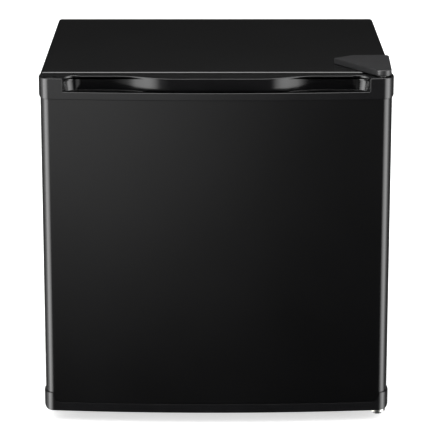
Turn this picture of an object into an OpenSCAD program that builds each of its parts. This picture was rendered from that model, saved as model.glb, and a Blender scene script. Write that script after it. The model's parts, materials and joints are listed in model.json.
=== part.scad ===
// Free-standing mini fridge: foamed cabinet, bowed door with a recessed top handle, chiller box,
// thermostat, compressor and wire condenser. Millimetres, +Z up, the door faces -Y.
// The origin is on the floor under the middle of the whole appliance.

/* [Cabinet] */
// Width of the cabinet and of the door's two trims
cabinet_w = 472; // [466:1:480]
// Depth of the cabinet without its door
cabinet_d = 400; // [396:1:420]
// Height of the cabinet from its underside to its top
cabinet_h = 468; // [464:1:484]
// Height of the cabinet's underside over the floor
ground_gap = 14; // [13:1:16]
// Thickness of the foamed walls
wall_t = 38; // [37:1:40]
// Thickness of the painted sheet steel
sheet_t = 0.8; // [0.6:0.1:1]
// Thickness of the moulded liners
liner_t = 1.5; // [1.2:0.1:1.8]
// Radius of the two long folded edges of the outer case
case_edge_r = 5; // [4:1:8]
// Depth of the recess behind the rear panel, where the condenser hangs
rear_recess = 22; // [21:1:25]
// Height of the compressor compartment
compartment_h = 156; // [152:1:160]
// Depth of the compressor compartment in front of the rear panel
compartment_d = 104; // [102:1:108]

/* [Door] */
// Thickness of the door at its middle
door_t = 42; // [41:1:44]
// Gap between door and cabinet, filled by the gasket
gasket_t = 8; // [8:1:10]
// Height of the door
door_h = 464; // [460:1:466]
// Gap between the cabinet's underside and the door's underside
door_lift = 3; // [2.5:0.5:4]
// How far the door's front bows over its width
door_bow = 12; // [11:1:14]
// Radius of the door's upright corners
door_corner_r = 17; // [11:1:18]
// How far the trims stand proud of the door's sheet steel
trim_proud = 2; // [1.5:0.5:2.5]
// Height of the top trim
top_cap_h = 28; // [27:1:32]
// Height of the bottom trim's front
bottom_cap_h = 12; // [11:1:14]
// Height to which the bottom trim wraps up the door's corners
bottom_wrap_h = 25; // [20:1:28]

/* [Handle] */
// Half of the handle recess's width
recess_half_w = 204; // [200:1:206]
// Height of the recess above its front lip
recess_h = 18; // [16:1:19]
// Depth of the finger pockets below the lip's top
pocket_h = 1.5; // [1:0.5:5]
// Thickness of the lip
lip_t = 5; // [4:0.5:6]
// Distance from the door's foremost point back to the pockets' wall
pocket_back = 30; // [28:1:31]
// Distance from the door's foremost point back to the recess's middle wall
middle_back = 10; // [9:1:12]

/* [Hinges] */
// Distance of the hinge axis from the cabinet's side
hinge_in = 14; // [14:1:15]
// Distance of the hinge axis in front of the cabinet
hinge_out = 20; // [20:1:22]
// Diameter of the hinge pins
hinge_pin_d = 10; // [8:1:10]
// Height of the hinge cover
hinge_cover_h = 8; // [8:1:12]

/* [Inside] */
// Width of the chiller box
chiller_w = 220; // [210:5:225]
// Height of the chiller box
chiller_h = 90; // [88:1:92]
// Height of the chiller's flap
flap_h = 84; // [80:1:84]
// How far the drip tray slides out with the door shut
tray_travel = 60; // [40:5:60]
// Height of the shelf's supports over the underside of the cabinet
shelf_up = 232; // [226:1:238]
// Diameter of the thermostat knob
knob_d = 40; // [34:1:44]

/* [Hidden] */
$fn = 48;

half_w = cabinet_w / 2;
y_back = (cabinet_d + gasket_t + door_t) / 2;
y_door = -y_back;
y_cab = y_door + door_t + gasket_t;
z_bot = ground_gap;
z_top = z_bot + cabinet_h;
y_panel = y_back - rear_recess;

in_half_w = half_w - wall_t;
in_z0 = z_bot + wall_t;
in_z1 = z_top - wall_t;
in_y1 = y_panel - wall_t;
comp_y0 = y_panel - compartment_d;
comp_z1 = z_bot + compartment_h;
step_y = comp_y0 - wall_t;
step_z = comp_z1 + wall_t;
pan_t = 1;
rim_w = 6;
rail_leg = 30;
rim_x = in_half_w + rim_w;
lap_x = in_half_w + 14;
lap_z = 12;
rear_hem = 10;

door_z0 = z_bot + door_lift;
door_z1 = door_z0 + door_h;
cap_z0 = door_z1 - top_cap_h;
sill_z1 = door_z0 + bottom_cap_h;
door_back = y_cab - gasket_t;
bow_r = (half_w * half_w + door_bow * door_bow) / (2 * door_bow);
lip_z = door_z1 - recess_h;
pocket_z = lip_z - pocket_h;
hem_x = in_half_w + 20;
end_r = 24;
wave_x0 = 140;
wave_x1 = 60;
wave_steps = 12;
cap_wall = 2.5;
cap_screws = [[-150, -200], [150, -200]];

hinge_x = half_w - hinge_in;
hinge_y = y_cab - hinge_out;
bush_r = 8;
bush_h = 18;
plate_t = 2.5;
bracket_t = 3;
boss_r = 11;
nose_r = 11;
cover_corner_r = 7;
cover_corner_y = -104;
top_screws = [[190, -140], [214, -128], [226, -160]];
low_screws = [[180, -150], [180, -110], [228, -110]];
foot_x = 205;
foot_y = -130;
stud_d = 8;

chill_x0 = -185;
chill_x1 = chill_x0 + chiller_w;
chill_mid = (chill_x0 + chill_x1) / 2;
chill_y0 = -66;
chill_y1 = 150;
chill_z1 = in_z1 - 8;
chill_z0 = chill_z1 - chiller_h;
bezel_t = 6;
flap_y = chill_y0 - bezel_t - 4;
flap_z = chill_z0;
flap_x0 = chill_x0 + 7;
flap_x1 = chill_x1 - 7;
tray_z1 = chill_z0 - 8;
tray_z0 = tray_z1 - 24;
tray_y0 = -80;
tray_y1 = 140;
runner_y0 = -60;

shelf_z = z_bot + shelf_up;
shelf_y0 = -80;
shelf_y1 = in_y1 - 15;
ledge_w = 8;
ledge_y = -104;
ledge_gap = 34;

stat_x0 = 60;
stat_x1 = 190;
stat_y0 = -66;
stat_y1 = 60;
stat_z0 = in_z1 - 60;
knob_x = 125;
knob_z = in_z1 - 30;
shaft_r = 3;
sensor_y = 10;
sensor_z = 400;

comp_x = 60;
comp_y = 160;
comp_r = 54;
comp_foot_x = 62;
comp_foot_y = 34;
comp_low = z_bot + 14;
gland_x = -100;
gland_z = z_bot + 13;
pan_z0 = 144;
pan_z1 = 160;
line_y = 214;
suction_x = -175;
capillary_x = -188;
suction_z = 392;
capillary_z = 402;
drain_x = 70;
drain_z = step_z + 8;
drain_y = 185;

coil_x0 = -146;
coil_x1 = 176;
coil_z1 = 440;
coil_step = 20;
coil_rows = 13;
coil_bend = 9.9;
coil_d = 5;
wire_d = 1.5;
wire_step = 12;
drier_top = 158;
drier_bottom = 62;

bulge_x = in_half_w - 16;
bulge_y = y_cab + 8;
bulge_z0 = in_z0 + 12;
bulge_z1 = in_z1 - 12;
rack_x = bulge_x - 16;
rack_y0 = bulge_y + 0.1;
rack_y1 = rack_y0 + 75;
low_rack_z = bulge_z0 + 6;
low_rack_h = 60;
up_rack_z = bulge_z0 + 148;
up_rack_h = 42;
boss_h = 40;

black = "#1c1c1f";
white = "#eeeeea";
zinc = "#b9bcc0";
copper = "#b06a3c";

// ---------- shapes that repeat ----------

function arc_pts(cx, cy, r, a0, a1, n) =
    [for (i = [0:n]) let (a = a0 + (a1 - a0) * i / n) [cx + r * cos(a), cy + r * sin(a)]];

// Upright outline with a square foot and two rounded upper corners
function arch_pts(w, z0, z1, r) =
    concat([[-w, z0], [w, z0]], arc_pts(w - r, z1 - r, r, 0, 90, 6),
        arc_pts(-w + r, z1 - r, r, 90, 180, 6));

// Rectangle with rounded corners from one corner point to the other
function round_rect(x0, y0, x1, y1, r) =
    concat(arc_pts(x1 - r, y0 + r, r, -90, 0, 5), arc_pts(x1 - r, y1 - r, r, 0, 90, 5),
        arc_pts(x0 + r, y1 - r, r, 90, 180, 5), arc_pts(x0 + r, y0 + r, r, 180, 270, 5));

// Plan of the door: a bowed front, rounded upright corners and a flat back, drawn "inset" inside
// the trims' outline
function door_pts(inset, y_end) =
    let (w = half_w - inset, r = bow_r - inset, rc = door_corner_r - inset)
    let (cx = w - rc, yc = y_door + bow_r, cy = yc - sqrt(pow(r - rc, 2) - cx * cx))
    let (b = atan2(yc - cy, cx))
    concat([[-w, y_end]], arc_pts(-cx, cy, rc, 180, 180 + b, 8),
        arc_pts(0, yc, r, 180 + b + 0.3, 360 - b - 0.3, 36),
        arc_pts(cx, cy, rc, 360 - b, 360, 8), [[w, y_end]]);

// Half of the handle's wall from the recess's end to its middle, moved back by "grow"
function half_wall(grow) =
    let (back = y_door + pocket_back + grow, mid = y_door + middle_back + grow)
    concat(arc_pts(recess_half_w - end_r, back - end_r - grow, end_r + grow, 0, 90, 10),
        [for (i = [0:wave_steps]) let (t = i / wave_steps)
            [wave_x0 + (wave_x1 - wave_x0) * t, back + (mid - back) * (1 - cos(180 * t)) / 2]]);

function mirror_x(pts) = [for (i = [len(pts) - 1:-1:0]) [-pts[i][0], pts[i][1]]];

function recess_pts(grow) =
    concat([[recess_half_w + grow, y_door - 20]], half_wall(grow), mirror_x(half_wall(grow)),
        [[-recess_half_w - grow, y_door - 20]]);

// Side profile of the food space, drawn "grow" outside its walls
function cavity_pts(grow, y_start) =
    [[y_start, in_z0 - grow], [step_y + grow, in_z0 - grow], [step_y + grow, step_z - grow],
        [in_y1 + grow, step_z - grow], [in_y1 + grow, in_z1 + grow], [y_start, in_z1 + grow]];

function unit(v) = v / norm(v);
function trim_len(p, i, r) =
    (i <= 0 || i >= len(p) - 1) ? 0
        : r * tan(acos(unit(p[i] - p[i - 1]) * unit(p[i + 1] - p[i])) / 2);

module along_y(y0, y1) {
    translate([0, y1, 0]) rotate([90, 0, 0]) linear_extrude(y1 - y0) children();
}

module along_x(x0, x1) {
    translate([x0, 0, 0]) rotate([90, 0, 90]) linear_extrude(x1 - x0) children();
}

module slab(z0, z1) {
    translate([0, 0, z0]) linear_extrude(z1 - z0) children();
}

module box(a, b) {
    translate(a) cube(b - a);
}

// Box and its mirror image across x = 0
module box_pair(a, b) {
    box(a, b);
    mirror([1, 0, 0]) box(a, b);
}

module post(x, y, z0, z1, d) {
    translate([x, y, z0]) cylinder(d = d, h = z1 - z0);
}

module rotate_extrude_at(x, y) {
    translate([x, y, 0]) rotate_extrude() children();
}

module foot_bores(d) {
    for (s = [-1, 1]) {
        post(s * foot_x, foot_y, z_bot - 1, z_bot + 29, d);
    }
}

module screw_bores(places, z, d) {
    for (s = places) {
        post(s[0], s[1], z, z + 15, d);
    }
}

module rod(a, b, d) {
    w = unit(b - a);
    translate(a) rotate([0, acos(w[2]), atan2(w[1], w[0])]) cylinder(d = d, h = norm(b - a));
}

module elbow(p0, p1, p2, r, d) {
    u = unit(p1 - p0);
    v = unit(p2 - p1);
    phi = acos(u * v);
    c = p1 + unit(v - u) * r / cos(phi / 2);
    a = unit(p1 - u * r * tan(phi / 2) - c);
    n = cross(a, u);
    multmatrix([[a[0], u[0], n[0], c[0]], [a[1], u[1], n[1], c[1]], [a[2], u[2], n[2], c[2]],
        [0, 0, 0, 1]])
        rotate_extrude(angle = phi) translate([r, 0]) circle(d = d);
}

// Round tube along a list of corner points, with every corner bent to radius r
module tube_run(p, r, d) {
    for (i = [0:len(p) - 2]) {
        w = unit(p[i + 1] - p[i]);
        rod(p[i] + w * trim_len(p, i, r), p[i + 1] - w * trim_len(p, i + 1, r), d);
    }
    for (i = [1:1:len(p) - 2]) {
        elbow(p[i - 1], p[i], p[i + 1], r, d);
    }
}

// Pan head screw pointing down, its seat at z
module screw_down(x, y, z, length, d) {
    post(x, y, z - length, z, d);
    difference() {
        post(x, y, z, z + 3, 2.2 * d);
        box([x - 0.9 * d, y - 0.5, z + 1.8], [x + 0.9 * d, y + 0.5, z + 4]);
        box([x - 0.5, y - 0.9 * d, z + 1.8], [x + 0.5, y + 0.9 * d, z + 4]);
    }
}

// Open-topped moulded bin
module bin(a, b, wall, r) {
    difference() {
        slab(a[2], b[2]) polygon(round_rect(a[0], a[1], b[0], b[1], r));
        slab(a[2] + wall, b[2] + 1)
            polygon(round_rect(a[0] + wall, a[1] + wall, b[0] - wall, b[1] - wall, r - wall));
    }
}

// ---------- cabinet ----------

module outer_case() {
    color(black) difference() {
        union() {
            along_y(y_cab, y_back) difference() {
                polygon(arch_pts(half_w, z_bot, z_top, case_edge_r));
                polygon(arch_pts(half_w - sheet_t, z_bot - 1, z_top - sheet_t,
                    case_edge_r - sheet_t));
            }
            along_y(y_cab, y_cab + sheet_t) difference() {
                polygon(arch_pts(half_w, z_bot, z_top, case_edge_r));
                polygon(arch_pts(rim_x, z_bot - 1, in_z1 + rim_w, 1));
            }
            along_y(y_back - sheet_t, y_back) difference() {
                polygon(arch_pts(half_w, z_bot, z_top, case_edge_r));
                polygon(arch_pts(half_w - rear_hem, z_bot - 1, z_top - rear_hem, 1));
            }
        }
        for (s = top_screws) {
            post(s[0], s[1], z_top - 5, z_top + 1, 4.2);
        }
    }
}

module front_rail() {
    w = rim_x - 0.2;
    color(black) difference() {
        along_x(-w, w)
            polygon([[y_cab, z_bot], [y_cab + rail_leg, z_bot], [y_cab + rail_leg, z_bot + sheet_t],
                [y_cab + sheet_t, z_bot + sheet_t], [y_cab + sheet_t, in_z0 - rim_w],
                [y_cab, in_z0 - rim_w]]);
        screw_bores(low_screws, z_bot - 1, 4.2);
    }
}

module rear_panel() {
    color("#8f9296") along_y(y_panel - sheet_t, y_panel) difference() {
        polygon(arch_pts(half_w - sheet_t, comp_z1, z_top - sheet_t, case_edge_r - sheet_t));
        translate([suction_x, suction_z]) circle(d = 9);
        translate([capillary_x, capillary_z]) circle(d = 5);
    }
}

module base_pan() {
    w = half_w - sheet_t;
    y0 = y_cab + rail_leg + 1;
    y1 = y_panel - sheet_t;
    color("#9a9da1") difference() {
        union() {
            along_x(-w, w)
                polygon([[y0, z_bot], [comp_y0, z_bot], [comp_y0, comp_z1], [y1, comp_z1],
                    [y1, comp_z1 + pan_t], [comp_y0 - pan_t, comp_z1 + pan_t],
                    [comp_y0 - pan_t, z_bot + pan_t], [y0, z_bot + pan_t]]);
            box_pair([rim_x, y_cab + sheet_t, z_bot], [w, y0 + 1, z_bot + pan_t]);
        }
        foot_bores(16.2);
        screw_bores(low_screws, z_bot - 1, 4.2);
        post(drain_x, drain_y, comp_z1 - 1, comp_z1 + 3, 8.4);
    }
}

module cabinet_foam() {
    y1 = y_panel - sheet_t;
    color("#e8dfae") difference() {
        along_y(y_cab + sheet_t, y1)
            polygon(arch_pts(half_w - sheet_t, z_bot + pan_t, z_top - sheet_t,
                case_edge_r - sheet_t));
        along_x(-in_half_w - liner_t, in_half_w + liner_t)
            polygon(cavity_pts(liner_t, y_cab - 1));
        box([-lap_x, y_cab, in_z0 - lap_z], [lap_x, y_cab + sheet_t + liner_t, in_z1 + lap_z]);
        box([-half_w, comp_y0 - pan_t, 0], [half_w, y_back, comp_z1 + pan_t]);
        foot_bores(16.2);
        screw_bores(low_screws, z_bot, 4.2);
        screw_bores(top_screws, z_top - 13, 4.2);
        rod([suction_x, in_y1, suction_z], [suction_x, y_back, suction_z], 9);
        rod([capillary_x, in_y1, capillary_z], [capillary_x, y_back, capillary_z], 5);
        drain_path(8.4);
    }
}

module inner_liner() {
    rim = rim_w - 0.2;
    color(white) difference() {
        union() {
            along_x(-in_half_w - liner_t, in_half_w + liner_t)
                polygon(cavity_pts(liner_t, y_cab));
            along_y(y_cab, y_cab + sheet_t)
                polygon(arch_pts(in_half_w + rim, in_z0 - rim, in_z1 + rim, 1));
            box([-lap_x, y_cab + sheet_t, in_z0 - lap_z],
                [lap_x, y_cab + sheet_t + liner_t, in_z1 + lap_z]);
        }
        difference() {
            along_x(-in_half_w, in_half_w) polygon(cavity_pts(0, y_cab - 1));
            for (z = [shelf_z, shelf_z + ledge_gap]) {
                box_pair([in_half_w - ledge_w, ledge_y, z - 7], [in_half_w, in_y1, z]);
            }
        }
        rod([suction_x, in_y1 - 1, suction_z], [suction_x, y_panel, suction_z], 9);
        rod([capillary_x, in_y1 - 1, capillary_z], [capillary_x, y_panel, capillary_z], 5);
        rod([drain_x, in_y1 - 1, drain_z], [drain_x, y_panel - 20, drain_z], 8.4);
    }
}

// ---------- hinges and feet ----------

function hinge_outline(inset) =
    let (x = half_w - cover_corner_r, r = cover_corner_r - inset)
    concat([[160 + 1.32 * inset, -120 - 0.22 * inset], [204 + 0.82 * inset, -189 + 0.57 * inset]],
        arc_pts(hinge_x, hinge_y, boss_r - inset, 215, 360, 10),
        arc_pts(x, cover_corner_y, r, 0, 90, 6), [[186 + 0.37 * inset, -99 - 0.98 * inset]]);

module upper_hinge_plate() {
    color(zinc) difference() {
        slab(z_top, z_top + plate_t) polygon(hinge_outline(3));
        post(hinge_x, hinge_y, z_top - 1, z_top + 5, hinge_pin_d + 0.1);
        for (s = top_screws) {
            post(s[0], s[1], z_top - 1, z_top + 5, 4.4);
        }
    }
}

module upper_hinge_pin() {
    color(zinc) rotate_extrude_at(hinge_x, hinge_y)
        polygon([[0, door_z1 - 15], [hinge_pin_d / 2 - 1, door_z1 - 15],
            [hinge_pin_d / 2, door_z1 - 14], [hinge_pin_d / 2, z_top + plate_t],
            [hinge_pin_d / 2 + 1.5, z_top + plate_t], [hinge_pin_d / 2 + 1.5, z_top + plate_t + 1.5],
            [0, z_top + plate_t + 2]]);
}

module upper_hinge_screws() {
    color(zinc) for (s = top_screws) {
        screw_down(s[0], s[1], z_top + plate_t, 12, 4);
    }
}

module hinge_cover() {
    z1 = z_top + hinge_cover_h;
    color("#26262a") difference() {
        slab(z_top, z1) polygon(hinge_outline(0));
        slab(z_top - 1, z1 - 2) polygon(hinge_outline(2));
    }
}

module lower_hinge_bracket() {
    z0 = z_bot - bracket_t;
    color(zinc) difference() {
        slab(z0, z_bot)
            polygon(concat([[170, -102], [170, -160], [190, -176]],
                arc_pts(hinge_x, hinge_y, nose_r, 205, 360, 10), [[234, -102]]));
        post(hinge_x, hinge_y, z0 - 1, z_bot + 1, hinge_pin_d + 0.1);
        post(foot_x, foot_y, z0 - 1, z_bot + 1, stud_d + 1.2);
        screw_bores(low_screws, z0 - 1, 4.4);
    }
}

module lower_hinge_pin() {
    z0 = z_bot - bracket_t;
    color(zinc) {
        translate([hinge_x, hinge_y, z0 - 4]) cylinder(d = 13, h = 4, $fn = 6);
        post(hinge_x, hinge_y, z0, door_z0 + 15, hinge_pin_d);
    }
}

module hinge_washer() {
    color(white) difference() {
        post(hinge_x, hinge_y, z_bot, door_z0 - 0.2, 18);
        post(hinge_x, hinge_y, z_bot - 1, door_z0 + 1, hinge_pin_d + 0.3);
    }
}

module lower_hinge_screws() {
    color(zinc) for (s = low_screws) {
        translate([s[0], s[1], z_bot - bracket_t]) mirror([0, 0, 1]) screw_down(0, 0, 0, 12, 4);
    }
}

module foot_inserts() {
    color(zinc) for (s = [-1, 1]) {
        difference() {
            post(s * foot_x, foot_y, z_bot, z_bot + 28, 16);
            post(s * foot_x, foot_y, z_bot - 1, z_bot + 26, stud_d + 0.2);
        }
    }
}

module levelling_foot(x) {
    color("#2b2b2e") rotate_extrude_at(x, foot_y)
        polygon([[0, 0], [15.5, 0], [17, 1.5], [17, 4.5], [15, 6.5], [9, 8], [stud_d / 2, 8],
            [stud_d / 2, z_bot + 23], [stud_d / 2 - 1, z_bot + 24], [0, z_bot + 24]]);
}

module left_foot() {
    levelling_foot(-foot_x);
}

module right_foot() {
    levelling_foot(foot_x);
}

module rear_feet() {
    color("#2b2b2e") for (s = [-1, 1]) {
        rotate_extrude_at(s * foot_x, 195)
            polygon([[0, 0], [15, 0], [16, 1.5], [14, z_bot], [0, z_bot]]);
    }
}

// ---------- compressor compartment ----------

module compressor_plate() {
    w = half_w - sheet_t - 0.2;
    y0 = comp_y0 + 0.2;
    y1 = y_back - 4;
    color(zinc) difference() {
        union() {
            box([-w, y0, z_bot], [w, y1, z_bot + 1.5]);
            box_pair([w - 1.5, y0, z_bot], [w, y1, z_bot + 22]);
            box([-w, y1 - 1.5, z_bot], [w, y1, z_bot + 24]);
        }
        for (x = [-150:30:-60]) {
            slab(z_bot - 1, z_bot + 3) polygon(round_rect(x - 5, 125, x + 5, 190, 5));
        }
        rod([gland_x, y1 - 5, gland_z], [gland_x, y1 + 5, gland_z], 12.2);
        compressor_bolt_bores(6.4);
    }
}

module compressor_bolt_bores(d) {
    for (sx = [-1, 1]) {
        for (sy = [-1, 1]) {
            post(comp_x + sx * comp_foot_x, comp_y + sy * comp_foot_y, 0, 60, d);
        }
    }
}

module compressor() {
    low = comp_low;
    color("#161618") {
        rotate_extrude_at(comp_x, comp_y)
            polygon(concat([[0, low]], [for (a = [-80:10:0]) [comp_r * cos(a), low + 22 + 22 * sin(a)]],
                [[comp_r, low + 50], [comp_r + 3, low + 51], [comp_r + 3, low + 55]],
                [[comp_r, low + 56]],
                [for (a = [0:10:80]) [comp_r * cos(a), low + 76 + 36 * sin(a)]], [[0, low + 112]]));
        difference() {
            slab(low, low + 2.5)
                polygon(round_rect(comp_x - 74, comp_y - 45, comp_x + 74, comp_y + 45, 10));
            compressor_bolt_bores(12);
        }
    }
}

module compressor_grommets() {
    low = comp_low;
    color("#202022") for (sx = [-1, 1]) {
        for (sy = [-1, 1]) {
            rotate_extrude_at(comp_x + sx * comp_foot_x, comp_y + sy * comp_foot_y)
                polygon([[3.2, z_bot + 1.5], [9, z_bot + 1.5], [8, z_bot + 8], [9, low], [5.8, low],
                    [5.8, low + 2.5], [9, low + 2.5], [8, low + 6], [3.2, low + 6]]);
        }
    }
}

module compressor_bolts() {
    low = z_bot + 20;
    color(zinc) for (sx = [-1, 1]) {
        for (sy = [-1, 1]) {
            x = comp_x + sx * comp_foot_x;
            y = comp_y + sy * comp_foot_y;
            post(x, y, z_bot - 2, low, 6);
            translate([x, y, low]) cylinder(d = 11.5, h = 4.5, $fn = 6);
            translate([x, y, z_bot - 4]) cylinder(d = 11.5, h = 4, $fn = 6);
        }
    }
}

module terminal_cover() {
    color(black) difference() {
        slab(comp_low + 22, comp_low + 58)
            polygon(round_rect(comp_x + 40, comp_y - 20, comp_x + comp_r + 26, comp_y + 20, 4));
        post(comp_x, comp_y, comp_low, comp_z1, 2 * (comp_r + 3) + 0.4);
    }
}

module cord_gland() {
    y1 = y_back - 4;
    color(black) difference() {
        union() {
            rod([gland_x, y1 - 6, gland_z], [gland_x, y1 - 1.5, gland_z], 16);
            rod([gland_x, y1 - 1.5, gland_z], [gland_x, y1, gland_z], 12);
            rod([gland_x, y1, gland_z], [gland_x, y1 + 3.5, gland_z], 16);
        }
        rod([gland_x, y1 - 9, gland_z], [gland_x, y1 + 9, gland_z], 7);
    }
}

module evaporation_tray() {
    color("#3a3a3e")
        bin([comp_x - 50, comp_y0, pan_z0], [comp_x + 50, comp_y0 + 96, pan_z1], 2, 6);
}

module drain_path(d) {
    tube_run([[drain_x, in_y1 - 1, drain_z], [drain_x, drain_y, drain_z],
        [drain_x, drain_y, pan_z0 + 8]], 10, d);
}

module drain_spout() {
    color(white) difference() {
        drain_path(8);
        tube_run([[drain_x, in_y1 - 3, drain_z], [drain_x, drain_y, drain_z],
            [drain_x, drain_y, pan_z0 + 6]], 10, 5);
    }
}

function coil_z(i) = coil_z1 - coil_step * i;

module condenser_coil() {
    turns = [for (i = [0:coil_rows - 1]) each (i % 2 == 0)
        ? [[i == 0 ? coil_x1 + 14 : coil_x1, line_y, coil_z(i)], [coil_x0, line_y, coil_z(i)]]
        : [[coil_x0, line_y, coil_z(i)], [coil_x1, line_y, coil_z(i)]]];
    color("#19191b") tube_run(concat(turns, [[coil_x0, line_y, drier_top]]), coil_bend, coil_d);
}

module condenser_wires() {
    off = coil_d / 2 + wire_d / 2 + 0.05;
    color("#19191b") for (x = [coil_x0 + 14:wire_step:coil_x1 - 10]) {
        for (s = [-1, 1]) {
            post(x, line_y + s * off, coil_z(coil_rows - 1) - 8, coil_z1 + 8, wire_d);
        }
    }
}

module condenser_brackets() {
    color(zinc) for (x = [coil_x0 + 20, coil_x0 + 20 + wire_step * 23]) {
        for (i = [1, coil_rows - 2]) {
            box([x - 4, y_panel, coil_z(i) - 8], [x + 4, line_y - coil_d / 2 - 0.1, coil_z(i) + 8]);
        }
    }
}

module filter_drier() {
    h = drier_top - drier_bottom;
    color(copper) rotate_extrude_at(coil_x0, line_y)
        polygon([[0, drier_bottom], [2.5, drier_bottom], [2.5, drier_bottom + 5],
            [9.5, drier_bottom + 16], [9.5, drier_bottom + h - 16], [3, drier_bottom + h - 5],
            [3, drier_top], [0, drier_top]]);
}

module capillary_tube() {
    color(copper) tube_run([[coil_x0, line_y, drier_bottom], [coil_x0, line_y, 46],
        [capillary_x, line_y, 46], [capillary_x, line_y, capillary_z],
        [capillary_x, chill_y1 + 4, capillary_z], [chill_x0 + 6, chill_y1 + 4, capillary_z],
        [chill_x0 + 6, chill_y1, capillary_z]], 1.9, 2.2);
}

module suction_line() {
    color(copper) tube_run([[suction_x, chill_y1, suction_z], [suction_x, line_y, suction_z],
        [suction_x, line_y, 95], [suction_x, comp_y, 95], [comp_x - comp_r, comp_y, 95]], 12, 6);
}

module discharge_line() {
    color(copper) tube_run([[comp_x + comp_r, comp_y, 98], [206, comp_y, 98], [206, line_y, 98],
        [206, line_y, coil_z1], [coil_x1 + 14, line_y, coil_z1]], 9.9, coil_d);
}

// ---------- chiller, thermostat and shelf ----------

module evaporator_box() {
    t = 1.5;
    color("#c9ccd0") difference() {
        union() {
            box([chill_x0, chill_y0, chill_z0], [chill_x1, chill_y1, chill_z1]);
            for (i = [0:3]) {
                x = chill_x0 + 26 + 56 * i;
                rod([x, -40, chill_z0], [x, 130, chill_z0], 5);
            }
            for (z = [chill_z0 + 22, chill_z0 + 66]) {
                rod([chill_x1, -40, z], [chill_x1, 130, z], 5);
            }
        }
        box([chill_x0 + t, chill_y0 - 1, chill_z0 + t], [chill_x1 - t, chill_y1 - t, chill_z1 - t]);
    }
}

module evaporator_hangers() {
    color(white) for (x = [chill_x0 + 20, chill_x1 - 20]) {
        for (y = [chill_y0 + 20, chill_y1 - 20]) {
            post(x, y, chill_z1, in_z1, 14);
        }
    }
}

module chiller_bezel() {
    y0 = chill_y0 - bezel_t;
    color(white) difference() {
        union() {
            along_y(y0, chill_y0)
                polygon(round_rect(chill_x0 - 5, chill_z0 - 6, chill_x1 + 5, chill_z1 + 6, 4));
            for (x = [chill_x0 - 2, flap_x1 + 1]) {
                along_x(x, x + 8)
                    polygon(concat([[y0 + 1, flap_z - 5]], arc_pts(flap_y, flap_z, 5, 270, 90, 8),
                        [[y0 + 1, flap_z + 5]]));
            }
        }
        box([chill_x0 + 1.5, y0 - 1, chill_z0 + 1.5], [chill_x1 - 1.5, chill_y0 + 1, chill_z1 - 1.5]);
        rod([chill_x0 - 9, flap_y, flap_z], [chill_x1 + 9, flap_y, flap_z], 4);
    }
}

module chiller_flap() {
    color("#dfe6ea") {
        rod([flap_x0 - 7, flap_y, flap_z], [flap_x0, flap_y, flap_z], 3.8);
        rod([flap_x1, flap_y, flap_z], [flap_x1 + 7, flap_y, flap_z], 3.8);
        rod([flap_x0, flap_y, flap_z], [flap_x1, flap_y, flap_z], 7);
        difference() {
            along_y(flap_y - 2, flap_y + 1.5)
                translate([chill_mid, 0])
                polygon(arch_pts((flap_x1 - flap_x0) / 2, flap_z, flap_z + flap_h, 8));
            along_y(flap_y - 3, flap_y - 0.5)
                polygon(round_rect(flap_x0 + 14, flap_z + 16, flap_x1 - 14, flap_z + flap_h - 26, 6));
        }
        box([chill_mid - 30, flap_y - 7, flap_z + flap_h - 12],
            [chill_mid + 30, flap_y - 2, flap_z + flap_h - 8]);
    }
}

module tray_runners() {
    color(white) for (m = [0, 1]) {
        translate([chill_mid, 0, 0]) mirror([m, 0, 0]) translate([-chill_mid, 0, 0])
            along_y(runner_y0, tray_y1)
                polygon([[chill_x0 - 5, tray_z1 - 7], [chill_x0 + 3.5, tray_z1 - 7],
                    [chill_x0 + 3.5, tray_z1 - 4], [chill_x0 - 2, tray_z1 - 4],
                    [chill_x0 - 2, chill_z0 + 1], [chill_x0, chill_z0 + 1],
                    [chill_x0, chill_z0 + 14], [chill_x0 - 5, chill_z0 + 14]]);
    }
}

module drip_tray() {
    color("#dfe6ea") {
        difference() {
            union() {
                box([chill_x0 + 5, tray_y0, tray_z0], [chill_x1 - 5, tray_y1, tray_z1]);
                box([chill_x0 - 1.5, runner_y0 + 2, tray_z1 - 3.7],
                    [chill_x1 + 1.5, tray_y1, tray_z1 - 1.7]);
            }
            box([chill_x0 + 7, tray_y0 + 2, tray_z0 + 2], [chill_x1 - 7, tray_y1 - 2, tray_z1 + 1]);
        }
        box([chill_x0 + 3, tray_y0 - 3, tray_z0], [chill_x1 - 3, tray_y0, tray_z1]);
        box([chill_mid - 35, tray_y0 - 7, tray_z0], [chill_mid + 35, tray_y0 - 3, tray_z0 + 4]);
    }
}

module thermostat_housing() {
    color(white) difference() {
        along_x(stat_x0, stat_x1)
            polygon([[stat_y0, in_z1], [stat_y0, stat_z0 + 6], [stat_y0 + 6, stat_z0],
                [stat_y1 - 20, stat_z0], [stat_y1, stat_z0 + 20], [stat_y1, in_z1]]);
        along_x(stat_x0 + 2, stat_x1 - 2)
            polygon([[stat_y0 + 2, in_z1 + 1], [stat_y0 + 2, stat_z0 + 7], [stat_y0 + 7, stat_z0 + 2],
                [stat_y1 - 21, stat_z0 + 2], [stat_y1 - 2, stat_z0 + 21], [stat_y1 - 2, in_z1 + 1]]);
        rod([knob_x, stat_y0 - 1, knob_z], [knob_x, stat_y0 + 5, knob_z], 12);
        rod([stat_x0 - 1, sensor_y, sensor_z], [stat_x0 + 4, sensor_y, sensor_z], 4);
    }
}

module thermostat_body() {
    color(zinc) {
        box([knob_x - 22, stat_y0 + 2, knob_z - 15], [knob_x + 22, stat_y0 + 36, knob_z + 15]);
        rod([knob_x, stat_y0 - 11, knob_z], [knob_x, stat_y0 + 2, knob_z], 2 * shaft_r);
    }
}

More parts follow.
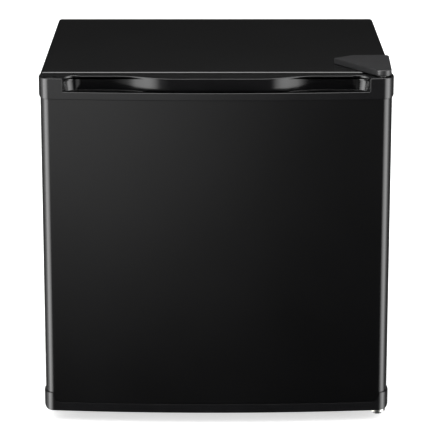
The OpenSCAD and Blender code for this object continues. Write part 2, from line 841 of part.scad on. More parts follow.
module thermostat_knob() {
    color(white) difference() {
        union() {
            translate([knob_x, stat_y0 - 0.5, knob_z]) rotate([90, 0, 0])
                rotate_extrude()
                    polygon([[0, 0], [knob_d / 2, 0], [knob_d / 2, 6], [knob_d / 2 - 3, 8],
                        [knob_d / 2 - 5, 15], [knob_d / 2 - 7, 16.5], [0, 16.5]]);
            box([knob_x - 3, stat_y0 - 20.5, knob_z - 14], [knob_x + 3, stat_y0 - 15, knob_z + 16]);
        }
        rod([knob_x, stat_y0 - 12, knob_z], [knob_x, stat_y0 + 1, knob_z], 2 * shaft_r + 0.1);
        for (a = [0:20:340]) {
            translate([knob_x, stat_y0, knob_z]) rotate([0, a, 0])
                rod([knob_d / 2 + 0.4, 0.5, 0], [knob_d / 2 + 0.4, -8.5, 0], 3);
        }
    }
}

module thermostat_sensor() {
    x = chill_x1 + 3.6;
    color(copper) {
        tube_run([[stat_x0 + 6, sensor_y, sensor_z], [x, sensor_y, sensor_z],
            [x, sensor_y + 30, sensor_z]], 4, 2);
        rod([x, sensor_y + 30, sensor_z], [x, sensor_y + 90, sensor_z], 6);
    }
}

module glass_shelf() {
    color("#b9d4cf", 0.5)
        box([-in_half_w + 3, shelf_y0, shelf_z], [in_half_w - 3, shelf_y1, shelf_z + 4]);
}

module shelf_trim() {
    color(white) difference() {
        along_x(-in_half_w + 9, in_half_w - 9)
            polygon(round_rect(shelf_y0 - 4, shelf_z - 5, shelf_y0 + 10, shelf_z + 9, 3));
        box([-in_half_w, shelf_y0, shelf_z], [in_half_w, shelf_y0 + 20, shelf_z + 4]);
    }
}

// ---------- door ----------

module door_panel() {
    w = half_w - trim_proud;
    color(black) {
        slab(sill_z1, cap_z0) difference() {
            polygon(door_pts(trim_proud, door_back));
            polygon(door_pts(trim_proud + sheet_t, door_back + 1));
        }
        box_pair([hem_x, door_back - sheet_t, sill_z1], [w, door_back, cap_z0]);
    }
}

module door_top_cap() {
    color(black) difference() {
        intersection() {
            slab(cap_z0, door_z1) polygon(door_pts(0, door_back));
            along_y(y_door - 5, door_back + 5)
                polygon(round_rect(-half_w, cap_z0, half_w, door_z1 + 20, 6));
        }
        slab(lip_z, door_z1 + 1) polygon(recess_pts(0));
        slab(pocket_z, lip_z + 1) intersection() {
            polygon(recess_pts(0));
            polygon(door_pts(lip_t, door_back));
        }
        difference() {
            slab(cap_z0 - 1, door_z1 - cap_wall) difference() {
                polygon(door_pts(cap_wall, door_back - cap_wall));
                polygon(recess_pts(cap_wall));
            }
            for (s = [-1, 1]) {
                post(s * hinge_x, hinge_y, cap_z0 - 2, door_z1, 2 * bush_r + 5);
            }
        }
        for (s = [-1, 1]) {
            post(s * hinge_x, hinge_y, door_z1 - bush_h, door_z1 + 1, 2 * bush_r);
        }
    }
}

module door_bottom_cap() {
    color(black) difference() {
        intersection() {
            slab(door_z0, door_z0 + bottom_wrap_h) polygon(door_pts(0, door_back));
            along_y(y_door - 5, door_back + 5)
                polygon(round_rect(-half_w, door_z0, half_w, door_z0 + 80, 8));
        }
        slab(sill_z1, door_z1) polygon(door_pts(trim_proud, door_back + 1));
        along_y(y_door - 5, door_back + 5)
            polygon(round_rect(-half_w + 13, sill_z1, half_w - 13, sill_z1 + 80, 10));
        for (s = [-1, 1]) {
            post(s * hinge_x, hinge_y, door_z0 - 1, door_z0 + bush_h, 2 * bush_r);
        }
        screw_bores(cap_screws, door_z0 - 1, 3.8);
    }
}

// The liner's raised middle, drawn "inset" inside its walls
module bulge(inset, y0) {
    box([-bulge_x + inset, y0, bulge_z0 + inset],
        [bulge_x - inset, bulge_y - inset, bulge_z1 - inset]);
}

module door_foam() {
    color("#e8dfae") difference() {
        union() {
            slab(sill_z1, cap_z0)
                polygon(door_pts(trim_proud + sheet_t, door_back - liner_t));
            bulge(liner_t, door_back - liner_t);
        }
        for (s = [-1, 1]) {
            post(s * hinge_x, hinge_y, door_z0, door_z0 + bush_h + 0.5, 2 * bush_r + 0.2);
        }
        screw_bores(cap_screws, door_z0 + 1, 3.8);
    }
}

module door_liner() {
    edge = hem_x - 0.2;
    color(white) {
        difference() {
            union() {
                box([-edge, door_back - liner_t, sill_z1], [edge, door_back, cap_z0]);
                bulge(0, door_back - liner_t);
            }
            bulge(liner_t, door_back - liner_t - 1);
        }
        for (z = [low_rack_z + 2, up_rack_z]) {
            box_pair([rack_x + 2, bulge_y, z], [bulge_x, bulge_y + 17, z + boss_h]);
        }
    }
}

module door_gasket() {
    w = hinge_x - 5;
    color("#3c3c40") along_y(door_back, y_cab - 0.1) difference() {
        polygon(round_rect(-w, in_z0 - 19, w, in_z1 + 19, 6));
        polygon(round_rect(-w + 16, in_z0 - 3, w - 16, in_z1 + 3, 3));
    }
}

module door_bushes() {
    color(white) {
        difference() {
            post(hinge_x, hinge_y, door_z1 - bush_h, door_z1 - 0.2, 2 * bush_r);
            post(hinge_x, hinge_y, door_z1 - bush_h + 2, door_z1 + 1, hinge_pin_d + 0.16);
        }
        difference() {
            post(hinge_x, hinge_y, door_z0, door_z0 + bush_h, 2 * bush_r);
            post(hinge_x, hinge_y, door_z0 - 1, door_z0 + bush_h - 2, hinge_pin_d + 0.16);
        }
    }
}

module door_pin_plugs() {
    color(black) {
        post(-hinge_x, hinge_y, door_z1 - bush_h, door_z1, 2 * bush_r);
        post(-hinge_x, hinge_y, door_z1, door_z1 + 0.8, 2 * bush_r + 3);
        post(-hinge_x, hinge_y, door_z0, door_z0 + bush_h, 2 * bush_r);
        post(-hinge_x, hinge_y, door_z0 - 0.8, door_z0, 2 * bush_r + 3);
    }
}

module door_screws() {
    color(zinc) for (s = cap_screws) {
        translate([s[0], s[1], door_z0]) mirror([0, 0, 1]) screw_down(0, 0, 0, 12, 3.6);
    }
}

module door_rack(z0, h) {
    color("#dfe6ea") difference() {
        bin([-rack_x, rack_y0, z0], [rack_x, rack_y1, z0 + h], 2, 8);
        for (i = [-5:5]) {
            box([28 * i - 8, rack_y1 - 3, z0 + 12], [28 * i + 8, rack_y1 + 2, z0 + h - 14]);
        }
    }
}

module upper_door_rack() {
    door_rack(up_rack_z, up_rack_h);
}

module lower_door_rack() {
    door_rack(low_rack_z, low_rack_h);
}

outer_case();
front_rail();
rear_panel();
base_pan();
cabinet_foam();
inner_liner();
upper_hinge_plate();
upper_hinge_pin();
upper_hinge_screws();
hinge_cover();
lower_hinge_bracket();
lower_hinge_pin();
lower_hinge_screws();
hinge_washer();
foot_inserts();
rear_feet();
compressor_plate();
compressor();
compressor_grommets();
compressor_bolts();
terminal_cover();
cord_gland();
evaporation_tray();
drain_spout();
condenser_coil();
condenser_wires();
condenser_brackets();
filter_drier();
capillary_tube();
suction_line();
discharge_line();
evaporator_box();
evaporator_hangers();
chiller_bezel();
tray_runners();
thermostat_housing();
thermostat_body();
thermostat_sensor();
glass_shelf();
shelf_trim();
door_panel();
door_top_cap();
door_bottom_cap();
door_foam();
door_liner();
door_gasket();
door_bushes();
door_pin_plugs();
door_screws();
upper_door_rack();
lower_door_rack();
thermostat_knob();
chiller_flap();
drip_tray();
left_foot();
right_foot();
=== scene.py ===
"""Looks of a free-standing mini fridge.

Builds the rounded shells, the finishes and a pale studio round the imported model.
"""

import json
import math

import bmesh
import bpy
from bpy.props import FloatProperty, FloatVectorProperty, IntProperty, PointerProperty
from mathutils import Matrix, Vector

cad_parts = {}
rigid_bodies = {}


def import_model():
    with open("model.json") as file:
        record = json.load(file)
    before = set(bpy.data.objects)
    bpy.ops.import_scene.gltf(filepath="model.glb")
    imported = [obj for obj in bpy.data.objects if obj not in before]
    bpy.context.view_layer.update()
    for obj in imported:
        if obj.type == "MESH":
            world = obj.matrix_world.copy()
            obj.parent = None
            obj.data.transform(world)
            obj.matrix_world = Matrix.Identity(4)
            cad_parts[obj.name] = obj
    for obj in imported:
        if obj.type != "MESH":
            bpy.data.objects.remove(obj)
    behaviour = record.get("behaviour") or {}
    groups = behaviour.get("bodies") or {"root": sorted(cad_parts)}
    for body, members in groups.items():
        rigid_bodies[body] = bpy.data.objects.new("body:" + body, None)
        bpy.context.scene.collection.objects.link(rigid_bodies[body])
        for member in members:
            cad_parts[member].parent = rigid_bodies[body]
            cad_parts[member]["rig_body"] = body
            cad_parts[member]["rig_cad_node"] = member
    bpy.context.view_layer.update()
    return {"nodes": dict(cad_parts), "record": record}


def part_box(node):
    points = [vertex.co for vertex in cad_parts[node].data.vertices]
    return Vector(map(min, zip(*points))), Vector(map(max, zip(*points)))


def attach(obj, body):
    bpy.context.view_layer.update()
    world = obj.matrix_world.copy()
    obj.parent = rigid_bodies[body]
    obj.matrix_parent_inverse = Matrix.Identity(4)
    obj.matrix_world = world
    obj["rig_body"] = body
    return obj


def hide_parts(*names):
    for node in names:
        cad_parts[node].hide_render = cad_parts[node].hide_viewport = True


bl_info = {
    "name": "Mini fridge looks",
    "version": (1, 0, 0),
    "blender": (4, 5, 0),
    "location": "3D View > Sidebar > Fridge",
    "description": "Builds the visible shells, finishes and studio of a mini fridge",
    "category": "Object",
}

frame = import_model()
MM = 0.001

# Places that the frame gives
CASE_LOW, CASE_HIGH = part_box("outer_case")
PANEL_LOW, PANEL_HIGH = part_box("door_panel")
CAP_LOW, CAP_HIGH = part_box("door_top_cap")
BODY_OF = {
    node: body
    for body, nodes in frame["record"]["behaviour"]["bodies"].items()
    for node in nodes
}
SLOT_OF = {row["node"]: row["material_slot"] for row in frame["record"]["subparts"]}

# Outer case
REAR_FOLD = 0.6  # radius of the rear folds, as a share of the front ones'

# Door panel
SHEET_RISE = 12 * MM  # height of the sheet's lower edge over the bottom trim's
SHEET_RETURN = 15 * MM  # how far the sheet's back edges turn inwards
CORNER_STEPS = 12

# Handle walls in the top trim: X from the door's middle, Y behind the trim's front
END_X, END_R = 180 * MM, 24 * MM  # where the round ends begin, and their radius
END_BLEND = 8 * MM  # over this length the flat wall turns into the round end
END_BACK = 2.4  # share of the lean that a round end takes off
WAVE_X, WAVE_REACH = 100 * MM, 40 * MM  # middle of each wave, and its reach to either side
WAVE_BACK = 1.4  # share of the lean that the middle of a wave takes off
WALL_FRONT, WALL_BACK = 8 * MM, 33 * MM
WALL_END = 204 * MM
RIM_X, RIM_Y = 195 * MM, 12 * MM  # past this X the wall begins this far back

# Joining and rounding
WELD = 0.01 * MM
FINE_WELD = 0.005 * MM
FINE = 0.05 * MM
FLAT = math.radians(0.1)
SHARP = math.radians(42)


# ---------- settings ----------


class FridgeSizes(bpy.types.PropertyGroup):
    """Sizes of the visible shells, in metres"""

    sheet: FloatProperty(
        name="Sheet",
        description="Thickness of the painted sheet",
        default=0.8 * MM,
        unit="LENGTH",
    )
    case_fold: FloatProperty(
        name="Case fold",
        description="Radius of the case's long top edges",
        default=5 * MM,
        unit="LENGTH",
    )
    front_fold: FloatProperty(
        name="Front fold",
        description="Radius of the case's front edges",
        default=3 * MM,
        unit="LENGTH",
    )
    front_flange: FloatProperty(
        name="Front flange",
        description="Width of the case's front flange",
        default=32 * MM,
        unit="LENGTH",
    )
    rear_hem: FloatProperty(
        name="Rear hem",
        description="Width of the case's rear hem",
        default=10 * MM,
        unit="LENGTH",
    )
    door_bow: FloatProperty(
        name="Door bow",
        description="How far the door's front bows over its width",
        default=12 * MM,
        unit="LENGTH",
    )
    door_corner: FloatProperty(
        name="Door corner",
        description="Radius of the door's upright corners",
        default=15 * MM,
        unit="LENGTH",
    )
    wall_lean: FloatProperty(
        name="Wall lean",
        description="How far the tops of the handle's walls lean forward",
        default=2.6 * MM,
        unit="LENGTH",
    )
    foam_gap: FloatProperty(
        name="Foam gap",
        description="How far the foam stays behind the sheets' round folds",
        default=0.6 * MM,
        unit="LENGTH",
    )
    arc_steps: IntProperty(
        name="Arc steps",
        description="Steps along the door's bow",
        default=64,
    )


class FridgeFinishes(bpy.types.PropertyGroup):
    """Colours and roughness of the finishes"""

    black: FloatVectorProperty(
        name="Black",
        description="Colour of the black paint and trims",
        subtype="COLOR",
        size=3,
        default=(0.002, 0.002, 0.0022),
    )
    white: FloatVectorProperty(
        name="White",
        description="Colour of the liners",
        subtype="COLOR",
        size=3,
        default=(0.6, 0.61, 0.6),
    )
    zinc: FloatVectorProperty(
        name="Zinc",
        description="Colour of the plated steel",
        subtype="COLOR",
        size=3,
        default=(0.62, 0.63, 0.65),
    )
    copper: FloatVectorProperty(
        name="Copper",
        description="Colour of the tubes",
        subtype="COLOR",
        size=3,
        default=(0.72, 0.36, 0.2),
    )
    foam: FloatVectorProperty(
        name="Foam",
        description="Colour of the insulation",
        subtype="COLOR",
        size=3,
        default=(0.78, 0.69, 0.42),
    )
    paint_roughness: FloatProperty(
        name="Paint roughness",
        description="Roughness of the black paint",
        default=0.17,
        min=0,
        max=1,
    )
    trim_roughness: FloatProperty(
        name="Trim roughness",
        description="Roughness of the black trims",
        default=0.13,
        min=0,
        max=1,
    )


class FridgeStudio(bpy.types.PropertyGroup):
    """Camera and lights"""

    lens: FloatProperty(
        name="Lens",
        description="Focal length in millimetres on a 36 mm sensor",
        default=192.8,
    )
    camera_place: FloatVectorProperty(
        name="Camera",
        description="Where the camera stands",
        size=3,
        subtype="TRANSLATION",
        default=(-0.0075, -3.197, 1.0965),
    )
    camera_pitch: FloatProperty(
        name="Pitch",
        description="How far the camera looks down",
        default=math.radians(15.05),
        subtype="ANGLE",
    )
    sky: FloatProperty(
        name="Sky",
        description="Strength of the white surroundings",
        default=1.0,
    )
    key: FloatProperty(
        name="Key light",
        description="Power of the soft key light",
        default=26.0,
        unit="POWER",
    )



# ---------- modelling helpers ----------


def sizes():
    return bpy.context.scene.fridge_sizes


def finishes():
    return bpy.context.scene.fridge_finishes


def activate(obj):
    """Deselects everything else, then selects one object."""
    bpy.ops.object.select_all(action="DESELECT")
    obj.select_set(True)
    bpy.context.view_layer.objects.active = obj


def edit(obj):
    """Opens a piece in edit mode with nothing selected."""
    activate(obj)
    bpy.ops.object.mode_set(mode="EDIT")
    bpy.ops.mesh.select_mode(type="EDGE")
    bpy.ops.mesh.select_all(action="DESELECT")


def leave():
    bpy.ops.object.mode_set(mode="OBJECT")


def pick_edges(obj, place_test, edge_test=None):
    """Selects the edges whose two ends pass one test and which pass the other themselves."""
    bm = bmesh.from_edit_mesh(obj.data)
    bpy.ops.mesh.select_all(action="DESELECT")
    found = [
        edge for edge in bm.edges
        if all(place_test(vert.co) for vert in edge.verts) and (edge_test is None or edge_test(edge))
    ]
    for edge in found:
        edge.select_set(True)
    bm.select_flush_mode()
    bmesh.update_edit_mesh(obj.data)
    if not found:
        raise RuntimeError(f"{obj.name}: no edge found")


def pick_faces(obj, face_test):
    """Selects the faces that pass the test."""
    bpy.ops.mesh.select_mode(type="FACE")
    bm = bmesh.from_edit_mesh(obj.data)
    bpy.ops.mesh.select_all(action="DESELECT")
    found = [face for face in bm.faces if face_test(face)]
    for face in found:
        face.select_set(True)
    bmesh.update_edit_mesh(obj.data)
    if not found:
        raise RuntimeError(f"{obj.name}: no face found")


def near(value, target, slack=0.2 * MM):
    return abs(value - target) < slack


def modify(obj, kind, **values):
    """Adds a modifier with these values and applies it."""
    activate(obj)
    modifier = obj.modifiers.new(kind.title(), kind)
    for key, value in values.items():
        setattr(modifier, key, value)
    bpy.ops.object.modifier_apply(modifier=modifier.name)


def smooth(obj, angle=35):
    """Smooth shading in which the wide faces stay flat and only their rounded edges turn."""
    activate(obj)
    bpy.ops.object.shade_smooth_by_angle(angle=math.radians(angle))
    modify(obj, "WEIGHTED_NORMAL", mode="FACE_AREA", weight=80, keep_sharp=True)


def settle(obj, name, body, material, slot, *stands_for):
    """Names a finished piece, gives it its finish and fixes it to its body."""
    activate(obj)
    bpy.ops.object.transform_apply(location=True, rotation=True, scale=True)
    obj.name = name
    obj.data.name = name
    obj.data.materials.clear()
    obj.data.materials.append(material)
    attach(obj, body)
    if stands_for:
        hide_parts(*stands_for)
    return obj


def merged_copy(node):
    """A joined-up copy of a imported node's mesh, with its flat faces made whole."""
    activate(frame["nodes"][node])
    bpy.ops.object.duplicate()
    obj = bpy.context.view_layer.objects.active
    obj.parent = None
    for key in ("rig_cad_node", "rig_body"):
        del obj[key]
    bpy.ops.mesh.customdata_custom_splitnormals_clear()
    edit(obj)
    bpy.ops.mesh.select_all(action="SELECT")
    bpy.ops.mesh.remove_doubles(threshold=WELD)
    bpy.ops.mesh.dissolve_limited(angle_limit=FLAT)
    leave()
    return obj


def round_edges(obj, radius, steps, clamp):
    """Rounds every sharp edge of a piece."""
    modify(obj, "BEVEL", width=radius, segments=steps, limit_method="ANGLE", angle_limit=SHARP,
           harden_normals=False, use_clamp_overlap=clamp, miter_outer="MITER_ARC")
    smooth(obj)


# ---------- finishes ----------


class Finish:
    """A node tree under construction."""

    def __init__(self, name):
        self.material = bpy.data.materials.new(name)
        self.material.use_nodes = True
        self.tree = self.material.node_tree
        self.shader = self.tree.nodes["Principled BSDF"]
        self.place = self.add("ShaderNodeTexCoord").outputs["Object"]

    def add(self, kind, **values):
        node = self.tree.nodes.new(kind)
        for key, value in values.items():
            setattr(node, key, value)
        return node

    def link(self, a, b):
        self.tree.links.new(a, b)

    def set(self, **values):
        """Sets the shader's own sockets, with an underscore for each space in their names."""
        for key, value in values.items():
            self.shader.inputs[key.replace("_", " ")].default_value = value

    def mapping(self, scale):
        """The piece's own place, stretched along each axis."""
        node = self.add("ShaderNodeMapping")
        node.inputs["Scale"].default_value = scale
        self.link(self.place, node.inputs["Vector"])
        return node.outputs["Vector"]

    def noise(self, scale, detail=3, stretch=None):
        node = self.add("ShaderNodeTexNoise")
        node.inputs["Scale"].default_value = scale
        node.inputs["Detail"].default_value = detail
        self.link(self.mapping(stretch) if stretch else self.place, node.inputs["Vector"])
        return node.outputs["Fac"]

    def cells(self, scale, feature="F1"):
        node = self.add("ShaderNodeTexVoronoi", feature=feature)
        node.inputs["Scale"].default_value = scale
        self.link(self.place, node.inputs["Vector"])
        return node

    def spread(self, value, low, high):
        """Maps 0..1 to low..high."""
        node = self.add("ShaderNodeMapRange")
        node.inputs["To Min"].default_value = low
        node.inputs["To Max"].default_value = high
        self.link(value, node.inputs["Value"])
        return node.outputs["Result"]

    def rough(self, value, low, high):
        self.link(self.spread(value, low, high), self.shader.inputs["Roughness"])

    def colour(self, value, low, high, start=0.3, end=0.7):
        """Turns a value up to start into the low colour, and one past end into the high colour."""
        node = self.add("ShaderNodeValToRGB")
        node.color_ramp.elements[0].color = (*low, 1)
        node.color_ramp.elements[0].position = start
        node.color_ramp.elements[1].color = (*high, 1)
        node.color_ramp.elements[1].position = end
        self.link(value, node.inputs["Fac"])
        self.link(node.outputs["Color"], self.shader.inputs["Base Color"])

    def bump(self, value, strength, distance=0.1 * MM):
        node = self.add("ShaderNodeBump")
        node.inputs["Strength"].default_value = strength
        node.inputs["Distance"].default_value = distance
        self.link(value, node.inputs["Height"])
        self.link(node.outputs["Normal"], self.shader.inputs["Normal"])


def shade(colour, factor):
    """A lighter or darker version of a colour."""
    return tuple(min(1.0, c * factor) for c in colour)


def black_paint(name, rough_low, rough_high, peel):
    """Baked black paint: a long, faint orange peel under an even gloss."""
    f = Finish(name)
    black = finishes().black
    f.colour(f.noise(9), shade(black, 0.85), shade(black, 1.15))
    f.rough(f.noise(14), rough_low, rough_high)
    f.bump(f.noise(240, detail=2), strength=peel, distance=0.02 * MM)
    f.set(Specular_IOR_Level=0.5)
    return f.material


def black_plastic():
    """Moulded black plastic with a very fine spark-eroded grain."""
    f = Finish("black_trim_plastic")
    black = finishes().black
    f.colour(f.noise(30), shade(black, 2.0), shade(black, 2.6))
    f.rough(f.noise(60), low=finishes().trim_roughness, high=finishes().trim_roughness + 0.07)
    f.bump(f.noise(1900, detail=2), strength=0.1, distance=0.01 * MM)
    return f.material


def dull_plastic():
    """Rougher, grained plastic of the hidden mouldings."""
    f = Finish("grained_black_plastic")
    f.colour(f.noise(40), (0.012, 0.012, 0.013), (0.02, 0.02, 0.021))
    f.rough(f.noise(90), low=0.42, high=0.55)
    f.bump(f.noise(1100), strength=0.35, distance=0.03 * MM)
    return f.material


def cover_plastic():
    """The hinge cover's satin plastic, a little greyer than the paint."""
    f = Finish("satin_cover_plastic")
    f.colour(f.noise(50), (0.014, 0.014, 0.015), (0.019, 0.019, 0.02))
    f.rough(f.noise(80), low=0.33, high=0.4)
    f.bump(f.noise(1400, detail=2), strength=0.2, distance=0.02 * MM)
    return f.material


def white_plastic(name, rough):
    """Vacuum-formed or moulded white plastic with a soft sheen."""
    f = Finish(name)
    white = finishes().white
    f.colour(f.noise(60), shade(white, 0.985), white)
    f.rough(f.noise(90), rough, rough + 0.03)
    f.bump(f.noise(900, detail=2), strength=0.06, distance=0.02 * MM)
    return f.material


def clear_plastic():
    """Clear moulded polystyrene."""
    f = Finish("clear_polystyrene")
    f.rough(f.noise(40), low=0.06, high=0.13)
    f.bump(f.noise(120, detail=2), strength=0.08, distance=0.05 * MM)
    f.set(Base_Color=(0.9, 0.95, 0.98, 1), Transmission_Weight=0.86, IOR=1.49)
    return f.material


def shelf_glass():
    """Tempered glass with a green cast."""
    f = Finish("tempered_glass")
    f.rough(f.noise(20), low=0.01, high=0.04)
    f.set(Base_Color=(0.8, 0.93, 0.88, 1), Transmission_Weight=0.95, IOR=1.52)
    return f.material


def zinc_plate():
    """Bright zinc plate with faint yellow clouding and fine scratches."""
    f = Finish("zinc_plated_steel")
    zinc = finishes().zinc
    f.colour(f.noise(120), shade(zinc, 0.82), (0.7, 0.69, 0.62))
    f.rough(f.noise(400), low=0.2, high=0.38)
    f.bump(f.noise(900, stretch=(1, 6, 1)), strength=0.2, distance=0.02 * MM)
    f.set(Metallic=1.0)
    return f.material


def galvanised():
    """Galvanised sheet with its spangle."""
    f = Finish("galvanised_sheet")
    spangle = f.cells(140)
    f.colour(spangle.outputs["Distance"], (0.34, 0.35, 0.36), (0.52, 0.53, 0.54), start=0.1, end=0.9)
    f.rough(spangle.outputs["Distance"], low=0.32, high=0.55)
    f.bump(f.noise(300), strength=0.15, distance=0.03 * MM)
    f.set(Metallic=0.9)
    return f.material


def black_enamel():
    """Thick black enamel of the compressor and condenser."""
    f = Finish("black_enamel")
    f.colour(f.noise(30), (0.006, 0.006, 0.007), (0.014, 0.014, 0.015))
    f.rough(f.noise(70), low=0.22, high=0.36)
    f.bump(f.noise(260), strength=0.3, distance=0.05 * MM)
    return f.material


def copper_tube():
    """Drawn copper, browned in patches."""
    f = Finish("drawn_copper")
    copper = finishes().copper
    f.colour(f.noise(90), shade(copper, 0.5), copper)
    f.rough(f.noise(160), low=0.2, high=0.42)
    f.bump(f.noise(600), strength=0.15, distance=0.03 * MM)
    f.set(Metallic=1.0)
    return f.material


def rolled_aluminium():
    """Rolled aluminium with lines along the box."""
    f = Finish("rolled_aluminium")
    f.colour(f.noise(60, stretch=(1, 0.08, 1)), (0.62, 0.64, 0.66), (0.78, 0.79, 0.8))
    f.rough(f.noise(500, stretch=(1, 0.03, 1)), low=0.28, high=0.45)
    f.bump(f.noise(900, stretch=(1, 0.03, 1)), strength=0.2, distance=0.02 * MM)
    f.set(Metallic=0.95)
    return f.material


def rubber(name, low, high):
    """Extruded or moulded rubber."""
    f = Finish(name)
    f.colour(f.noise(60), low, high)
    f.rough(f.noise(150), low=0.5, high=0.66)
    f.bump(f.noise(900), strength=0.25, distance=0.04 * MM)
    return f.material


def rigid_foam():
    """Rigid foam with a porous skin."""
    f = Finish("rigid_foam")
    foam = finishes().foam
    f.colour(f.noise(35), shade(foam, 0.8), foam)
    f.bump(f.cells(420).outputs["Distance"], strength=0.6, distance=0.4 * MM)
    f.set(Roughness=0.9)
    return f.material


def make_finishes():
    """Every finish by the record's slot name."""
    paint = finishes().paint_roughness
    return {
        "black_steel": black_paint("baked_black_paint", paint, paint + 0.05, peel=0.06),
        "case_paint": black_paint("case_black_paint", paint - 0.02, paint + 0.02, peel=0.1),
        "black_plastic": black_plastic(),
        "dull_plastic": dull_plastic(),
        "cover_plastic": cover_plastic(),
        "white_plastic": white_plastic("white_moulding", 0.32),
        "liner_plastic": white_plastic("white_liner", 0.24),
        "clear_plastic": clear_plastic(),
        "glass": shelf_glass(),
        "zinc_steel": zinc_plate(),
        "bare_steel": galvanised(),
        "black_enamel": black_enamel(),
        "copper": copper_tube(),
        "aluminium": rolled_aluminium(),
        "black_rubber": rubber("mount_rubber", (0.012, 0.012, 0.012), (0.025, 0.025, 0.025)),
        "gasket_rubber": rubber("gasket_rubber", (0.03, 0.03, 0.032), (0.045, 0.045, 0.048)),
        "foam": rigid_foam(),
    }


MADE = {}


def finish_of(name):
    """A finish by its slot name. All of them are made at the first call."""
    if not MADE:
        MADE.update(make_finishes())
    return MADE[name]


# ---------- pieces ----------


class FRIDGE_OT_outer_case(bpy.types.Operator):
    """Folds the outer case from one box: top and sides, front flange and rear hem"""

    bl_idname = "fridge.outer_case"
    bl_label = "Outer case"

    def execute(self, context):
        low, high = CASE_LOW, CASE_HIGH
        size = high - low
        bpy.ops.object.select_all(action="DESELECT")
        bpy.ops.mesh.primitive_cube_add(size=1, location=(low + high) / 2)
        obj = context.active_object
        obj.scale = size
        bpy.ops.object.transform_apply(location=True, rotation=True, scale=True)
        edit(obj)
        pick_faces(obj, self.is_open)
        bpy.ops.mesh.delete(type="FACE")
        bpy.ops.mesh.select_mode(type="EDGE")
        pick_edges(obj, lambda place: near(place.z, high.z), self.runs_back)
        bpy.ops.mesh.bevel(offset=sizes().case_fold, segments=6, affect="EDGES")
        self.turn_in(obj, low.y, sizes().front_flange, size, low)
        self.turn_in(obj, high.y, sizes().rear_hem, size, low)
        self.round_fold(obj, low.y, sizes().front_fold)
        self.round_fold(obj, high.y, sizes().front_fold * REAR_FOLD)
        bpy.ops.mesh.select_all(action="SELECT")
        bpy.ops.mesh.normals_make_consistent(inside=False)
        leave()
        modify(obj, "SOLIDIFY", thickness=sizes().sheet, offset=-1, use_even_offset=True)
        smooth(obj, angle=40)
        settle(obj, "outer_case_shell", "cabinet", finish_of("case_paint"), "black_steel", "outer_case")
        return {"FINISHED"}

    def is_open(self, face):
        """True for the box's underside, front and back, which the case doesn't have."""
        return near(face.normal.z, -1, 0.1) or abs(face.normal.y) > 0.9

    def runs_back(self, edge):
        """True for an edge that runs from front to back."""
        return near(edge.verts[0].co.x, edge.verts[1].co.x)

    def is_fold(self, edge):
        """True for an edge where the sheet turns by more than 60 degrees."""
        if len(edge.link_faces) != 2:
            return False
        first, second = edge.link_faces
        return first.normal.angle(second.normal) > math.radians(60)

    def turn_in(self, obj, y, width, size, low):
        """Extrudes the open edge at y and scales it inwards by the flange's width."""
        pick_edges(obj, lambda place: near(place.y, y))
        bpy.ops.mesh.extrude_region_move()
        shrink = (1 - 2 * width / size.x, 1, 1 - width / size.z)
        bpy.ops.transform.resize(value=shrink, center_override=(0, y, low.z))

    def round_fold(self, obj, y, radius):
        """Rounds the fold between the shell and the flange at y."""
        pick_edges(obj, lambda place: near(place.y, y), self.is_fold)
        bpy.ops.mesh.bevel(offset=radius, segments=4, affect="EDGES")


